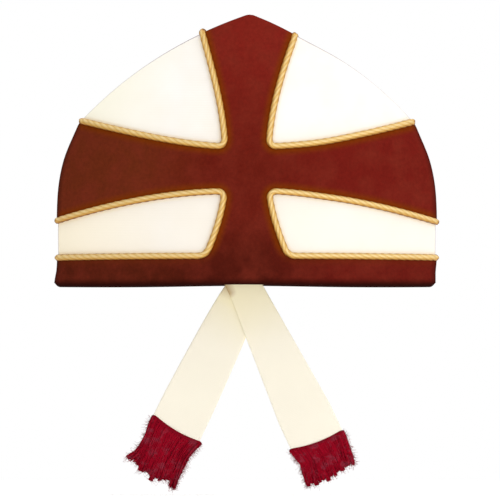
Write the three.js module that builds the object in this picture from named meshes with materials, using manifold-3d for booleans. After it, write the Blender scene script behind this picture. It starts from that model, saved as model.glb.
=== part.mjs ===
// A bishop's mitre: two stiff cream horns joined at the sides, a red cross and rim band
// laid over each, gold cord round the cream fields, a soft gusset between the horns and
// two fringed lappets that hang from the back of the rim.
// Millimetres. +X is right as seen from the front, +Y is the back and +Z is up. The
// origin is the middle of the head opening, in the plane of the rim.

import * as THREE from 'three';
import { mergeVertices } from 'three/addons/utils/BufferGeometryUtils.js';
import loadManifold from 'manifold-3d';

const manifold = await loadManifold();
manifold.setup();

// Plan of a horn's outer face at each height: half its width from seam to seam, and how
// far its middle stands out from the plane of the seams.
const SECTIONS = [
  { z: 0, halfWidth: 136.2, depth: 47.6 },
  { z: 62, halfWidth: 136.2, depth: 46.8 },
  { z: 90, halfWidth: 132, depth: 46 },
  { z: 117, halfWidth: 121.2, depth: 44.6 },
  { z: 155, halfWidth: 106, depth: 41.5 },
  { z: 210, halfWidth: 94, depth: 36.5 },
];
// Power of the plan curve: 1 is an ellipse, 2 a lens with sharp folds at the seams.
const PLAN_POWER = 1.6;

// Free edge of a horn: its shoulder, the slope there, the bow of its side, and its tip.
const SHOULDER = new THREE.Vector2(122.5, 118.7);
const SHOULDER_SLOPE = 1.12;
const EDGE_BOW = 7.8;
const TIP_START = new THREE.Vector2(7.9, 195);
const TIP_CORNER = new THREE.Vector2(0, 198.2);

const PANEL_THICK = 2.4;
const CROSS_THICK = 1;
const CORD_RADIUS = 2.2;
const CLEARANCE = 0.3;

// How far the red band turns up inside the rim.
const TURN_UP = 12;

// Cord routes on the right half of a horn in the front view, as curves from corner to
// corner. A row's bend is the control point of the curve that leads to its corner.
const UPPER_CORD = [
  { x: 34.3, z: 185 },
  { x: 15.9, z: 101, bendX: 16, bendZ: 128 },
  { x: 119.5, z: 120.3, bendX: 55, bendZ: 102.5 },
];
const LOWER_CORD = [
  { x: 136.1, z: 47.2 },
  { x: 15.9, z: 67.9, bendX: 70, bendZ: 67.5 },
  { x: 29.5, z: 21.3, bendX: 17.5, bendZ: 47 },
  { x: 136.1, z: 20.6, bendX: 83, bendZ: 21.3 },
];
const CORD_CORNER = 6;
const CORNER_STEPS = 4;
const CORD_STEP = 9;
const CORD_END_EASE = 1.5;
const CORD_SIDES = 7;

// Gusset: its edges lie inside the horns, a little below their free edges, and its valley
// runs from side to side at about the height of the shoulders.
const GUSSET_THICK = 1;
const GUSSET_INSET = 1;
const GUSSET_DROP = 4;
const GUSSET_HALF_LENGTH = 114;
const VALLEY_END_Z = 116;
const VALLEY_RISE = 10;
const VALLEY_POWER = 1.5;

// Lappets, sewn inside the back of the rim. rimX is where the centre line crosses the
// rim, lean its angle from straight down in degrees, length what hangs below the rim, y
// its place at the rim, sway how far back its end has moved, and skew the angle in degrees
// of its end, which is lower at the right, to a square cut. It widens as far as a share of
// its length, evenly for a widenPower of 1 and soonest at the rim for a lower one.
const LAPPETS = [
  {
    side: 'right', rimX: -1.8, lean: 25.3, length: 124.6, rimWidth: 24.5, endWidth: 39.9,
    widenPower: 1, y: 40.1, sway: -1, skew: 5,
  },
  {
    side: 'left', rimX: -0.9, lean: -26.1, length: 116, rimWidth: 22, endWidth: 38.5,
    widenPower: 0.4, y: 41.9, sway: 2, skew: 4.2,
  },
];
const LAPPET_THICK = 1.5;
const LAPPET_TAB = 12;
const LAPPET_WIDENS = 0.82;

// Fringes, as rows of locks from left to right: foot is how far to the right of the
// fringe's middle a lock ends, and reach how far below the lappet. The locks between two
// rows lie between them.
const FRINGES = {
  right: [
    { foot: -16.6, reach: 25.5 },
    { foot: -9.9, reach: 28 },
    { foot: -1.7, reach: 28.3 },
    { foot: 7, reach: 26 },
    { foot: 18, reach: 23 },
  ],
  left: [
    { foot: -21, reach: 33.5 },
    { foot: -9, reach: 37 },
    { foot: 1.5, reach: 38.5 },
    { foot: 10.2, reach: 36 },
    { foot: 19.5, reach: 37 },
  ],
};
const FRINGE_WIDTH = 42;
const FRINGE_THICK = 4.4;
const FRINGE_HEAD = 6;
const FRINGE_LOCKS = 12;
const LOCK_SIDES = 6;
const LOCK_TAPER = 0.8;
const LOCK_UNEVEN = 0.03;

const CLOTH = { roughness: 0.8, metalness: 0 };
const CREAM_CLOTH = { color: 0xf7f0dc, ...CLOTH };
const RED_CLOTH = { color: 0x74201a, ...CLOTH };
const CRIMSON_THREAD = { color: 0x860a20, ...CLOTH };
const GOLD_CORD = { color: 0xd9ab5c, roughness: 0.45, metalness: 0.6 };

// How finely the curved cloth is divided, and how far cutting outlines reach past it.
const COLUMNS = 20;
const ROWS = 10;
const ROLL_STEPS = 4;
const EDGE_STEPS = 12;
const TIP_STEPS = 4;
const GUSSET_ROWS = 8;
const LAPPET_COLUMNS = 4;
const SIDE_LIMIT = 150;
const TOP_LIMIT = 208;

// Solids

function toSolid(geometry) {
  geometry.deleteAttribute('normal');
  geometry.deleteAttribute('uv');
  const merged = mergeVertices(geometry);
  const vertProperties = new Float32Array(merged.attributes.position.array);
  const triVerts = new Uint32Array(merged.index.array);
  return new manifold.Manifold(new manifold.Mesh({ numProp: 3, vertProperties, triVerts }));
}

function toGeometry(solid) {
  const { vertProperties, triVerts } = solid.getMesh();
  const geometry = new THREE.BufferGeometry();
  geometry.setAttribute('position', new THREE.BufferAttribute(vertProperties, 3));
  geometry.setIndex(new THREE.BufferAttribute(triVerts, 1));
  geometry.computeVertexNormals();
  return geometry;
}

// Closed slab between two grids of points: outer(i, j) and inner(i, j) give its two faces,
// and the outer side is the one from which i runs right as j runs up.
function slab(columns, rows, outer, inner) {
  const positions = [];
  for (const face of [outer, inner]) {
    for (let j = 0; j <= rows; j++) {
      for (let i = 0; i <= columns; i++) positions.push(...face(i, j).toArray());
    }
  }
  const out = (i, j) => j * (columns + 1) + i;
  const inn = (i, j) => out(i, j + rows + 1);
  const index = [];
  const quad = (a, b, c, d) => index.push(a, b, c, a, c, d);
  for (let j = 0; j < rows; j++) {
    for (let i = 0; i < columns; i++) {
      quad(out(i, j), out(i + 1, j), out(i + 1, j + 1), out(i, j + 1));
      quad(inn(i, j), inn(i, j + 1), inn(i + 1, j + 1), inn(i + 1, j));
    }
    quad(out(columns, j + 1), out(columns, j), inn(columns, j), inn(columns, j + 1));
    quad(out(0, j), out(0, j + 1), inn(0, j + 1), inn(0, j));
  }
  for (let i = 0; i < columns; i++) {
    quad(out(i + 1, 0), out(i, 0), inn(i, 0), inn(i + 1, 0));
    quad(out(i, rows), out(i + 1, rows), inn(i + 1, rows), inn(i, rows));
  }
  const geometry = new THREE.BufferGeometry();
  geometry.setAttribute('position', new THREE.Float32BufferAttribute(positions, 3));
  geometry.setIndex(index);
  return geometry;
}

// Sheet of even thickness about the surface point(u, v), with u and v from 0 to 1.
function sheet(columns, rows, thickness, point) {
  const delta = 1e-3;
  const face = (distance) => (i, j) => {
    const u = i / columns;
    const v = j / rows;
    const du = point(u + delta, v).sub(point(u - delta, v));
    const dv = point(u, v + delta).sub(point(u, v - delta));
    return point(u, v).addScaledVector(du.cross(dv).normalize(), distance);
  };
  return slab(columns, rows, face(thickness / 2), face(-thickness / 2));
}

// Outline in the front view, (x, z), carried forward from the plane of the seams.
function frontPrism(points) {
  const options = { depth: SIDE_LIMIT, bevelEnabled: false };
  const geometry = new THREE.ExtrudeGeometry(new THREE.Shape(points), options);
  return toSolid(geometry.rotateX(Math.PI / 2));
}

function mirrored(points) {
  return points.map((p) => new THREE.Vector2(-p.x, p.y));
}

// Curved face of a horn

// Smooth curve through a column of the table, and its slope: a cubic between each two
// rows, with the slope at a row taken from its neighbours.
function section(name, z) {
  const last = SECTIONS.length - 1;
  const next = SECTIONS.findIndex((row, k) => k === last || (k > 0 && z < row.z));
  const slopeAt = (k) => {
    const before = SECTIONS[Math.max(k - 1, 0)];
    const after = SECTIONS[Math.min(k + 1, last)];
    return (after[name] - before[name]) / (after.z - before.z);
  };
  const from = SECTIONS[next - 1];
  const step = SECTIONS[next].z - from.z;
  const t = (z - from.z) / step;
  const rise = (SECTIONS[next][name] - from[name]) / step;
  const start = slopeAt(next - 1);
  const square = 3 * rise - 2 * start - slopeAt(next);
  const cube = start + slopeAt(next) - 2 * rise;
  return {
    value: from[name] + step * t * (start + t * (square + t * cube)),
    slope: start + t * (2 * square + 3 * t * cube),
  };
}

// Point of the front horn. The angle runs from -90 degrees at the left seam to 90 at the
// right one: x is the half width times its sine, y the depth times a power of its cosine.
// A positive offset goes out along the normal. A negative one shrinks the plan, so that
// inner faces still meet at the seams.
function hornPoint(angle, z, offset) {
  const width = section('halfWidth', z);
  const depth = section('depth', z);
  const shrink = Math.min(offset, 0);
  const sin = Math.sin(angle);
  const cos = Math.max(Math.cos(angle), 0);
  const forward = (depth.value + shrink) * cos ** PLAN_POWER + CLEARANCE / 2;
  const normal = new THREE.Vector3(
    PLAN_POWER * depth.value * sin,
    -width.value * cos ** (2 - PLAN_POWER),
    -width.value * depth.slope * cos ** 2 - PLAN_POWER * depth.value * width.slope * sin ** 2,
  ).normalize();
  return new THREE.Vector3((width.value + shrink) * sin, -forward, z)
    .addScaledVector(normal, Math.max(offset, 0));
}

// The same point, found by its x in the front view.
function hornPointAtX(x, z, offset) {
  const halfWidth = section('halfWidth', z).value + Math.min(offset, 0);
  return hornPoint(Math.asin(x / halfWidth), z, offset);
}

// One face of a layer of cloth on the horn: rows of height and offset, from seam to seam.
function hornFace(rows) {
  return (i, j) => hornPoint((i / COLUMNS - 0.5) * Math.PI, rows[j].z, rows[j].offset);
}

// Free edge, from the right shoulder over the tip to the left one.
function freeEdge() {
  const chord = TIP_START.clone().sub(SHOULDER);
  const bulge = new THREE.Vector2(chord.y, -chord.x).setLength(2 * EDGE_BOW);
  const bend = SHOULDER.clone().addScaledVector(chord, 0.5).add(bulge);
  const side = new THREE.QuadraticBezierCurve(SHOULDER, bend, TIP_START).getPoints(EDGE_STEPS);
  const [tipEnd] = mirrored([TIP_START]);
  const tip = new THREE.QuadraticBezierCurve(TIP_START, TIP_CORNER, tipEnd).getPoints(TIP_STEPS);
  return [...side, ...tip.slice(1, -1), ...mirrored(side).reverse()];
}

const edge = freeEdge();

function edgeHeight(x) {
  const next = Math.max(edge.findIndex((p) => p.x <= x), 1);
  const [a, b] = [edge[next - 1], edge[next]];
  return THREE.MathUtils.mapLinear(x, a.x, b.x, a.y, b.y);
}

// Everything below the free edge, in the front view.
function hornPrism() {
  const sideZ = SHOULDER.y - (SIDE_LIMIT - SHOULDER.x) * SHOULDER_SLOPE;
  const rightSide = [new THREE.Vector2(SIDE_LIMIT, -SIDE_LIMIT), new THREE.Vector2(SIDE_LIMIT, sideZ)];
  return frontPrism([...rightSide, ...edge, ...mirrored(rightSide).reverse()]);
}

// Cords

// Route in the front view: each leg is a curve, and the corners between them are rounded.
// Points lie closer together towards its ends, where the horn curves most.
function cordRoute(rows) {
  const corner = (row) => new THREE.Vector2(row.x, row.z);
  const route = [];
  for (let k = 1; k < rows.length; k++) {
    const bend = new THREE.Vector2(rows[k].bendX, rows[k].bendZ);
    const leg = new THREE.QuadraticBezierCurve(corner(rows[k - 1]), bend, corner(rows[k]));
    const length = leg.getLength();
    const start = k === 1 ? 0 : CORD_CORNER / length;
    const end = k === rows.length - 1 ? 1 : 1 - CORD_CORNER / length;
    if (k > 1) {
      const turn = new THREE.QuadraticBezierCurve(route.at(-1), leg.v0, leg.getPointAt(start));
      route.push(...turn.getPoints(CORNER_STEPS).slice(1, -1));
    }
    const steps = Math.ceil(length / CORD_STEP);
    for (let i = 0; i <= steps; i++) {
      let t = i / steps;
      if (k === 1) t **= CORD_END_EASE;
      if (k === rows.length - 1) t = 1 - (1 - t) ** CORD_END_EASE;
      route.push(leg.getPointAt(THREE.MathUtils.lerp(start, end, t)));
    }
  }
  return route;
}

// Field of cream that a route bounds, with the width of the cord and its clearance, as far
// as the limits of the front view. The field is on the left of the route's direction.
function fieldOutline(route) {
  const margin = CORD_RADIUS + CLEARANCE;
  const outline = route.map((point, i) => {
    const before = route[Math.max(i - 1, 0)];
    const after = route[Math.min(i + 1, route.length - 1)];
    const along = after.clone().sub(before).setLength(margin);
    return new THREE.Vector2(point.x + along.y, point.y - along.x);
  });
  const first = outline[0];
  const last = outline.at(-1);
  const startsAtSide = first.y < SHOULDER.y;
  const start = startsAtSide ? [SIDE_LIMIT, first.y] : [first.x, TOP_LIMIT];
  const corner = startsAtSide ? [SIDE_LIMIT, last.y] : [SIDE_LIMIT, TOP_LIMIT];
  const end = [[SIDE_LIMIT, last.y], corner].map((p) => new THREE.Vector2(...p));
  return [new THREE.Vector2(...start), ...outline, ...end];
}

// Tube that lies on the panel, with a ring at each point of its route.
function cordGeometry(route) {
  const onCloth = (p) => hornPointAtX(p.x, p.y, CORD_RADIUS + CLEARANCE);
  const path = new THREE.CatmullRomCurve3(route.map(onCloth));
  path.getSpacedPoints = path.getPoints;
  path.getTangentAt = path.getTangent;
  const section = Array.from({ length: CORD_SIDES }, (_, k) => {
    const turn = (2 * Math.PI * k) / CORD_SIDES;
    return new THREE.Vector2(CORD_RADIUS * Math.cos(turn), CORD_RADIUS * Math.sin(turn));
  });
  const options = { extrudePath: path, steps: route.length - 1, bevelEnabled: false };
  return toGeometry(toSolid(new THREE.ExtrudeGeometry(new THREE.Shape(section), options)));
}

const upperRoute = cordRoute(UPPER_CORD);
const lowerRoute = cordRoute(LOWER_CORD);
const cordRoutes = {
  upper_left: mirrored(upperRoute),
  upper_right: upperRoute,
  lower_left: mirrored(lowerRoute),
  lower_right: lowerRoute,
};

// Panel and cross of a horn

// Roll of red cloth round the panel's lower edge: the middle of the panel's thickness is
// the middle of the roll, which stands on the plane of the rim.
const rollInner = PANEL_THICK / 2 + CLEARANCE;
const rollOuter = rollInner + CROSS_THICK;
const wallHeights = Array.from({ length: ROWS + 1 }, (_, j) =>
  THREE.MathUtils.lerp(rollOuter, TOP_LIMIT, j / ROWS),
);

function panelGeometry() {
  const face = (offset) => hornFace(wallHeights.map((z) => ({ z, offset })));
  const layer = toSolid(slab(COLUMNS, ROWS, face(0), face(-PANEL_THICK)));
  return toGeometry(layer.intersect(hornPrism()));
}

// Rows of one face of the red layer: down inside the hat, round the roll, and up outside.
function crossRows(radius) {
  const offsetAt = (turn) => radius * Math.cos(turn) - PANEL_THICK / 2;
  const roll = Array.from({ length: ROLL_STEPS + 1 }, (_, k) => {
    const turn = Math.PI * (1 - k / ROLL_STEPS);
    return { z: rollOuter - radius * Math.sin(turn), offset: offsetAt(turn) };
  });
  const outside = wallHeights.slice(1).map((z) => ({ z, offset: offsetAt(0) }));
  return [{ z: TURN_UP, offset: offsetAt(Math.PI) }, ...roll, ...outside];
}

function crossGeometry() {
  const outer = crossRows(rollOuter);
  const inner = crossRows(rollInner);
  let layer = toSolid(slab(COLUMNS, outer.length - 1, hornFace(outer), hornFace(inner)));
  layer = layer.intersect(hornPrism());
  for (const route of [upperRoute, lowerRoute]) {
    const field = fieldOutline(route);
    layer = layer.subtract(frontPrism(field)).subtract(frontPrism(mirrored(field)));
  }
  return toGeometry(layer);
}

// Gusset: across the hat it is a rounded V between the horns' inner faces.
function gussetGeometry() {
  const inset = PANEL_THICK + GUSSET_INSET;
  return sheet(COLUMNS, GUSSET_ROWS, GUSSET_THICK, (u, v) => {
    const along = 2 * u - 1;
    const across = 2 * v - 1;
    const x = GUSSET_HALF_LENGTH * along;
    const topZ = edgeHeight(x) - GUSSET_DROP;
    const valleyZ = VALLEY_END_Z + VALLEY_RISE * (1 - along ** 2);
    const halfSpan = -hornPointAtX(x, topZ, -inset).y;
    const z = THREE.MathUtils.lerp(valleyZ, topZ, Math.abs(across) ** VALLEY_POWER);
    return new THREE.Vector3(x, halfSpan * across, z);
  });
}

// Lappets and fringes

// Point on a lappet's middle line at a distance below the rim.
function lappetPoint(lappet, distance) {
  const lean = THREE.MathUtils.degToRad(lappet.lean);
  const hang = Math.max(distance, 0) / lappet.length;
  return new THREE.Vector3(
    lappet.rimX + distance * Math.sin(lean),
    lappet.y + lappet.sway * hang ** 2,
    -distance * Math.cos(lean),
  );
}

function lappetGeometry(lappet) {
  const lean = THREE.MathUtils.degToRad(lappet.lean);
  const across = new THREE.Vector3(Math.cos(lean), 0, Math.sin(lean));
  const slope = Math.tan(THREE.MathUtils.degToRad(lappet.skew));
  return sheet(LAPPET_COLUMNS, ROWS, LAPPET_THICK, (u, v) => {
    const place = u - 0.5;
    const end = lappet.length + slope * lappet.endWidth * place;
    const distance = THREE.MathUtils.lerp(end, -LAPPET_TAB, v);
    const share = THREE.MathUtils.clamp(distance / (LAPPET_WIDENS * lappet.length), 0, 1);
    const flare = share ** lappet.widenPower;
    const width = THREE.MathUtils.lerp(lappet.rimWidth, lappet.endWidth, flare);
    return lappetPoint(lappet, distance).addScaledVector(across, width * place);
  });
}

// Fringe in its own frame: the lappet's end is at z = 0 and the locks hang from the head.
function fringeGeometry(rows) {
  const head = new THREE.BoxGeometry(FRINGE_WIDTH, FRINGE_THICK, FRINGE_HEAD);
  let fringe = toSolid(head.translate(0, 0, -FRINGE_HEAD / 2));
  const pitch = FRINGE_WIDTH / FRINGE_LOCKS;
  const radius = FRINGE_THICK / 2;
  for (let k = 0; k < FRINGE_LOCKS; k++) {
    const place = ((rows.length - 1) * k) / (FRINGE_LOCKS - 1);
    const before = rows[Math.floor(place)];
    const after = rows[Math.ceil(place)];
    const foot = THREE.MathUtils.lerp(before.foot, after.foot, place % 1);
    const reach = THREE.MathUtils.lerp(before.reach, after.reach, place % 1);
    const uneven = 1 - LOCK_UNEVEN * (1 + Math.sin(k * k));
    const top = pitch * (k + 0.5) - FRINGE_WIDTH / 2;
    const drop = reach * uneven - FRINGE_HEAD / 2;
    const length = Math.hypot(foot - top, drop);
    const lock = new THREE.CylinderGeometry(radius, radius * LOCK_TAPER, length, LOCK_SIDES)
      .translate(0, -length / 2, 0)
      .rotateX(Math.PI / 2)
      .rotateY(Math.atan2(top - foot, drop))
      .translate(top, 0, -FRINGE_HEAD / 2);
    fringe = fringe.add(toSolid(lock));
  }
  return toGeometry(fringe);
}

// Assembly

function piece(name, geometry, finish) {
  const mesh = new THREE.Mesh(geometry, new THREE.MeshStandardMaterial(finish));
  mesh.name = name;
  return mesh;
}

const mitre = new THREE.Group();

// The back half is the front half turned round.
for (const [half, turn] of [['front', 0], ['back', Math.PI]]) {
  const horn = new THREE.Group();
  horn.rotation.z = turn;
  horn.add(piece(`${half}_panel`, panelGeometry(), CREAM_CLOTH));
  horn.add(piece(`${half}_cross`, crossGeometry(), RED_CLOTH));
  for (const [place, route] of Object.entries(cordRoutes)) {
    horn.add(piece(`${half}_cord_${place}`, cordGeometry(route), GOLD_CORD));
  }
  mitre.add(horn);
}

mitre.add(piece('crown_gusset', gussetGeometry(), RED_CLOTH));

for (const lappet of LAPPETS) {
  mitre.add(piece(`lappet_${lappet.side}`, lappetGeometry(lappet), CREAM_CLOTH));
  const fringe = piece(`fringe_${lappet.side}`, fringeGeometry(FRINGES[lappet.side]), CRIMSON_THREAD);
  fringe.position.copy(lappetPoint(lappet, lappet.length + CLEARANCE));
  fringe.rotation.y = THREE.MathUtils.degToRad(lappet.skew - lappet.lean);
  mitre.add(fringe);
}

export default mitre;
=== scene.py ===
import bmesh
import bpy
import numpy as np
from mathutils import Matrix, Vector


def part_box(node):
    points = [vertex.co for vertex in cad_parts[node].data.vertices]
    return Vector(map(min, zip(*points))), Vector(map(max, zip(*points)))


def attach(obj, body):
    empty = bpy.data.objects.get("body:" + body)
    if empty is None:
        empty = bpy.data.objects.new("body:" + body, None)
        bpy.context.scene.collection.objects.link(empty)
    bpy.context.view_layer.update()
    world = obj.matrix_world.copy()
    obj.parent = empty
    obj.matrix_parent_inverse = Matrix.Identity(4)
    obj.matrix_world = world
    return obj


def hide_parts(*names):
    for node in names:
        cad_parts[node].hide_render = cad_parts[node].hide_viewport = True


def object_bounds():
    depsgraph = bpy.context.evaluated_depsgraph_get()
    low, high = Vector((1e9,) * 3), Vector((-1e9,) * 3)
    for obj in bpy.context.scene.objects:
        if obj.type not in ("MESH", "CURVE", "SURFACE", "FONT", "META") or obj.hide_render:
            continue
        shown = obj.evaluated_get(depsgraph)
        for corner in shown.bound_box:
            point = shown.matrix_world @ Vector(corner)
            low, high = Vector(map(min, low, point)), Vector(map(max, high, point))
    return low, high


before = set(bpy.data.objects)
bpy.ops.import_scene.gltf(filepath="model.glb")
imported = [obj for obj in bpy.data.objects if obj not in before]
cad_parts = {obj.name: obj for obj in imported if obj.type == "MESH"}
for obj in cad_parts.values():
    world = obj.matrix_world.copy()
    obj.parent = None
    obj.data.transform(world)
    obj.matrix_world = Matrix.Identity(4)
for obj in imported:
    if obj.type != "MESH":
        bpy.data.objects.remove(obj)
cad_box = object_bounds()

# Cream panels: two stiff boards covered with smooth cream satin, bowed round the head and sewn
# together at the sides. The satin is turned over the free edge of each, which leaves it round.
MM = 0.001
HALF_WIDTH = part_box("front_panel")[1].x / MM
DEPTH = -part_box("front_panel")[0].y / MM
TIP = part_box("front_panel")[1].z / MM
SECTIONS = np.array(
    [
        # height, half width and depth of one half
        (0.0, HALF_WIDTH, DEPTH),
        (62.0, HALF_WIDTH, 0.983 * DEPTH),
        (90.0, 0.969 * HALF_WIDTH, 0.966 * DEPTH),
        (117.0, 0.890 * HALF_WIDTH, 0.937 * DEPTH),
        (155.0, 0.778 * HALF_WIDTH, 0.872 * DEPTH),
        (210.0, 0.690 * HALF_WIDTH, 0.767 * DEPTH),
    ]
)
PLAN_POWER = 1.6
PANEL_THICK = 2.4
PANEL_FOOT = 2.5
SHOULDER = (122.5, 118.8)
TIP_START = (5.2, TIP - 2.5)
TIP_CORNER = (0.0, TIP + 0.2)
TIP_END = (-TIP_START[0], TIP_START[1])
EDGE_BOW = 8.2
EDGE_STEPS = 60
TIP_STEPS = 11
LOWEST_EDGE = 100.0
HALVINGS = 40
SHORT_OF_SEAM = 0.995
NUDGE = 0.005
SEAM_DIP = 0.5
SEAM_HALF = 1.2
RIM_STEPS = 400
RIGHT = np.pi / 2
TINY = 1e-9


def along_height(column, height):
    """One column of SECTIONS at any height: a cubic from row to row whose slope at a row is that
    of the line between the rows next to it."""
    level, value = SECTIONS[:, 0], SECTIONS[:, column]
    row = np.arange(len(level))
    before, after = np.maximum(row - 1, 0), np.minimum(row + 1, row[-1])
    slope = (value[after] - value[before]) / (level[after] - level[before])
    i = np.clip(np.searchsorted(level, height, side="right") - 1, 0, row[-1] - 1)
    step = level[i + 1] - level[i]
    t = (height - level[i]) / step
    start = (2 * t**3 - 3 * t**2 + 1) * value[i] + (t**3 - 2 * t**2 + t) * step * slope[i]
    return start + (3 * t**2 - 2 * t**3) * value[i + 1] + (t**3 - t**2) * step * slope[i + 1]


def horn(angle, height, offset):
    """The front half in millimetres. Its plan at a height is x = width * sin(angle) and
    y = -depth * cos(angle) ** PLAN_POWER. An offset above nought lies that far out along the
    normal, and one below nought takes that much off the width and the depth. Slopes are taken
    over one millimetre of height."""
    angle, height, offset = np.broadcast_arrays(angle, height, np.asarray(offset, float))
    width, depth = along_height(1, height), along_height(2, height)
    width_slope = along_height(1, height + 0.5) - along_height(1, height - 0.5)
    depth_slope = along_height(2, height + 0.5) - along_height(2, height - 0.5)
    sine, cosine = np.sin(angle), np.maximum(np.cos(angle), TINY)
    normal = np.stack(
        [
            PLAN_POWER * depth * sine,
            -width * cosine ** (2 - PLAN_POWER),
            -width * depth_slope * cosine**2 - PLAN_POWER * depth * width_slope * sine**2,
        ],
        -1,
    )
    normal /= np.linalg.norm(normal, axis=-1, keepdims=True)
    inward = np.minimum(offset, 0)
    plan = [(width + inward) * sine, -(depth + inward) * cosine**PLAN_POWER, height]
    return np.stack(plan, -1) + np.maximum(offset, 0)[..., None] * normal


def quadratic(start, control, end, steps):
    """Points of the curve that leaves start towards control and reaches end from there."""
    t = np.linspace(0, 1, steps)[:, None]
    return (1 - t) ** 2 * np.array(start) + 2 * t * (1 - t) * np.array(control) + t**2 * np.array(end)


def spread(a, b, share):
    """Values from a, at a share of nought, to b, at a share of one."""
    return a + (b - a) * share


chord = np.subtract(TIP_START, SHOULDER)
bow = 2 * EDGE_BOW * np.array([-chord[1], chord[0]]) / np.hypot(*chord)
free_edge = np.concatenate(
    [
        quadratic(SHOULDER, np.add(SHOULDER, TIP_START) / 2 - bow, TIP_START, EDGE_STEPS)[:-1],
        quadratic(TIP_START, TIP_CORNER, TIP_END, 2 * TIP_STEPS - 1)[:TIP_STEPS],
    ]
)
edge_run = np.gradient(free_edge, axis=0)
edge_run /= np.linalg.norm(edge_run, axis=1, keepdims=True)
inset_edge = free_edge + PANEL_THICK / 2 * np.stack([-edge_run[:, 1], edge_run[:, 0]], 1)
inset_edge[-1, 0] = 0


def edge_height(angle):
    """Height at which a line of one angle up the horn comes within half the panel's thickness of
    the free edge, by halving."""
    low, high = np.full_like(angle, LOWEST_EDGE), np.full_like(angle, TIP)
    for _ in range(HALVINGS):
        middle = (low + high) / 2
        x = along_height(1, middle) * np.abs(np.sin(angle))
        below = np.interp(x, inset_edge[::-1, 0], inset_edge[::-1, 1]) > middle
        low, high = np.where(below, middle, low), np.where(below, high, middle)
    return low


def over_edge(angle, turn, lift):
    """Points round the free edge at a lift over it, from the outer face at a turn of nought to
    the inner face at pi, and the way out of the cloth at each."""
    outer = horn(angle, edge_height(angle), 0)
    inner = horn(angle, edge_height(angle), -PANEL_THICK)
    out = (outer - inner) / np.linalg.norm(outer - inner, axis=-1, keepdims=True)
    near = np.clip(angle, -SHORT_OF_SEAM * RIGHT, SHORT_OF_SEAM * RIGHT)
    ahead, behind = near + NUDGE, near - NUDGE
    run = horn(ahead, edge_height(ahead), 0) - horn(behind, edge_height(behind), 0)
    onward = np.cross(out, run)
    onward /= np.linalg.norm(onward, axis=-1, keepdims=True)
    turn = np.asarray(turn)[..., None]
    away = out * np.cos(turn) + onward * np.sin(turn)
    return (outer + inner) / 2 + (PANEL_THICK / 2 + np.asarray(lift)[..., None]) * away, away


def seam_dip(angle, height):
    """The slight hollow of a cloth beside the side seam, as an offset."""
    return -SEAM_DIP * np.exp(-((horn(angle, height, 0)[..., 1] / SEAM_HALF) ** 2))


def cloth_places(angle, height, away):
    """Where points lie on their cloth: along the rim, up from it, and away from the nearest cord."""
    steps = np.linspace(0, RIGHT, RIM_STEPS)
    run = np.linalg.norm(np.diff(horn(steps, 0.0, 0), axis=0), axis=1)
    along = np.interp(np.abs(angle), steps, np.concatenate([[0], np.cumsum(run)]))
    return np.stack(np.broadcast_arrays(np.sign(angle) * along, height, away), -1)


# The cords' routes over the front in millimetres, from corner to corner, each leg with the
# control point that bends it.
UPPER_ROUTE = ((34.3, 185.0), ((16.0, 128.0), (15.9, 101.0)), ((55.0, 102.5), (121.0, 119.8)))
LOWER_ROUTE = (
    (HALF_WIDTH + 0.5, 47.2),
    ((70.0, 67.5), (15.9, 67.9)),
    ((18.2, 47.0), (29.5, 21.3)),
    ((83.0, 21.3), (HALF_WIDTH + 0.5, 20.6)),
)
CORNER = 6.0
FINE = 0.5
COARSE = 2.0
LEG_STEPS = 200
BEND_STEPS = 16
FAR = 260.0


def even_steps(points, step):
    """A line through the points again, with points about one step apart."""
    length = np.concatenate([[0], np.cumsum(np.linalg.norm(np.diff(points, axis=0), axis=1))])
    at = np.linspace(0, length[-1], max(2, int(round(length[-1] / step)) + 1))
    return np.stack([np.interp(at, length, column) for column in points.T], 1)


def legs_of(route):
    """The legs of a route as lines of (x, z), each from one corner to the next."""
    starts = [route[0]] + [leg[1] for leg in route[1:-1]]
    return [even_steps(quadratic(a, *leg, LEG_STEPS), FINE) for a, leg in zip(starts, route[1:])]


def rounded(route):
    """A route as one line of (x, z), with a curve in place of each corner."""
    legs, cut = legs_of(route), int(CORNER / FINE)
    line = legs[0]
    for leg in legs[1:]:
        bend = quadratic(line[-1 - cut], leg[0], leg[cut], BEND_STEPS)
        line = np.concatenate([line[: -1 - cut], bend, leg[cut + 1 :]])
    return line


upper_line, lower_line = rounded(UPPER_ROUTE), rounded(LOWER_ROUTE)
upper_rest = [(FAR, upper_line[-1, 1]), (FAR, FAR), (upper_line[0, 0], FAR)]
lower_rest = [(FAR, lower_line[-1, 1]), (FAR, lower_line[0, 1])]


def cord_distance(angle, height):
    """Distance in front view from the nearest cord's middle, below nought inside a field. A point
    is inside where a line to its right crosses the field's outline an odd number of times."""
    shape = np.broadcast_shapes(np.shape(angle), np.shape(height))
    x = np.abs(along_height(1, height) * np.sin(angle)).reshape(-1, 1)
    z = np.broadcast_to(height, shape).reshape(-1, 1)
    nearest, inside = np.full(len(x), FAR), np.zeros(len(x), bool)
    for line, rest in ((upper_line, upper_rest), (lower_line, lower_rest)):
        line = even_steps(line, COARSE)
        (ax, az), (rx, rz) = line[:-1].T, np.diff(line, axis=0).T
        t = np.clip(((x - ax) * rx + (z - az) * rz) / (rx * rx + rz * rz), 0, 1)
        nearest = np.minimum(nearest, np.hypot(x - ax - t * rx, z - az - t * rz).min(1))
        outline = np.concatenate([line, rest])
        (ax, az), (bx, bz) = outline.T, np.roll(outline, 1, axis=0).T
        crossed = (az > z) != (bz > z)
        at = ax + (bx - ax) * (z - az) / np.where(az == bz, 1.0, bz - az)
        inside |= (crossed & (x < at)).sum(1) % 2 == 1
    return np.where(inside, -nearest, nearest).reshape(shape)


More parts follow.
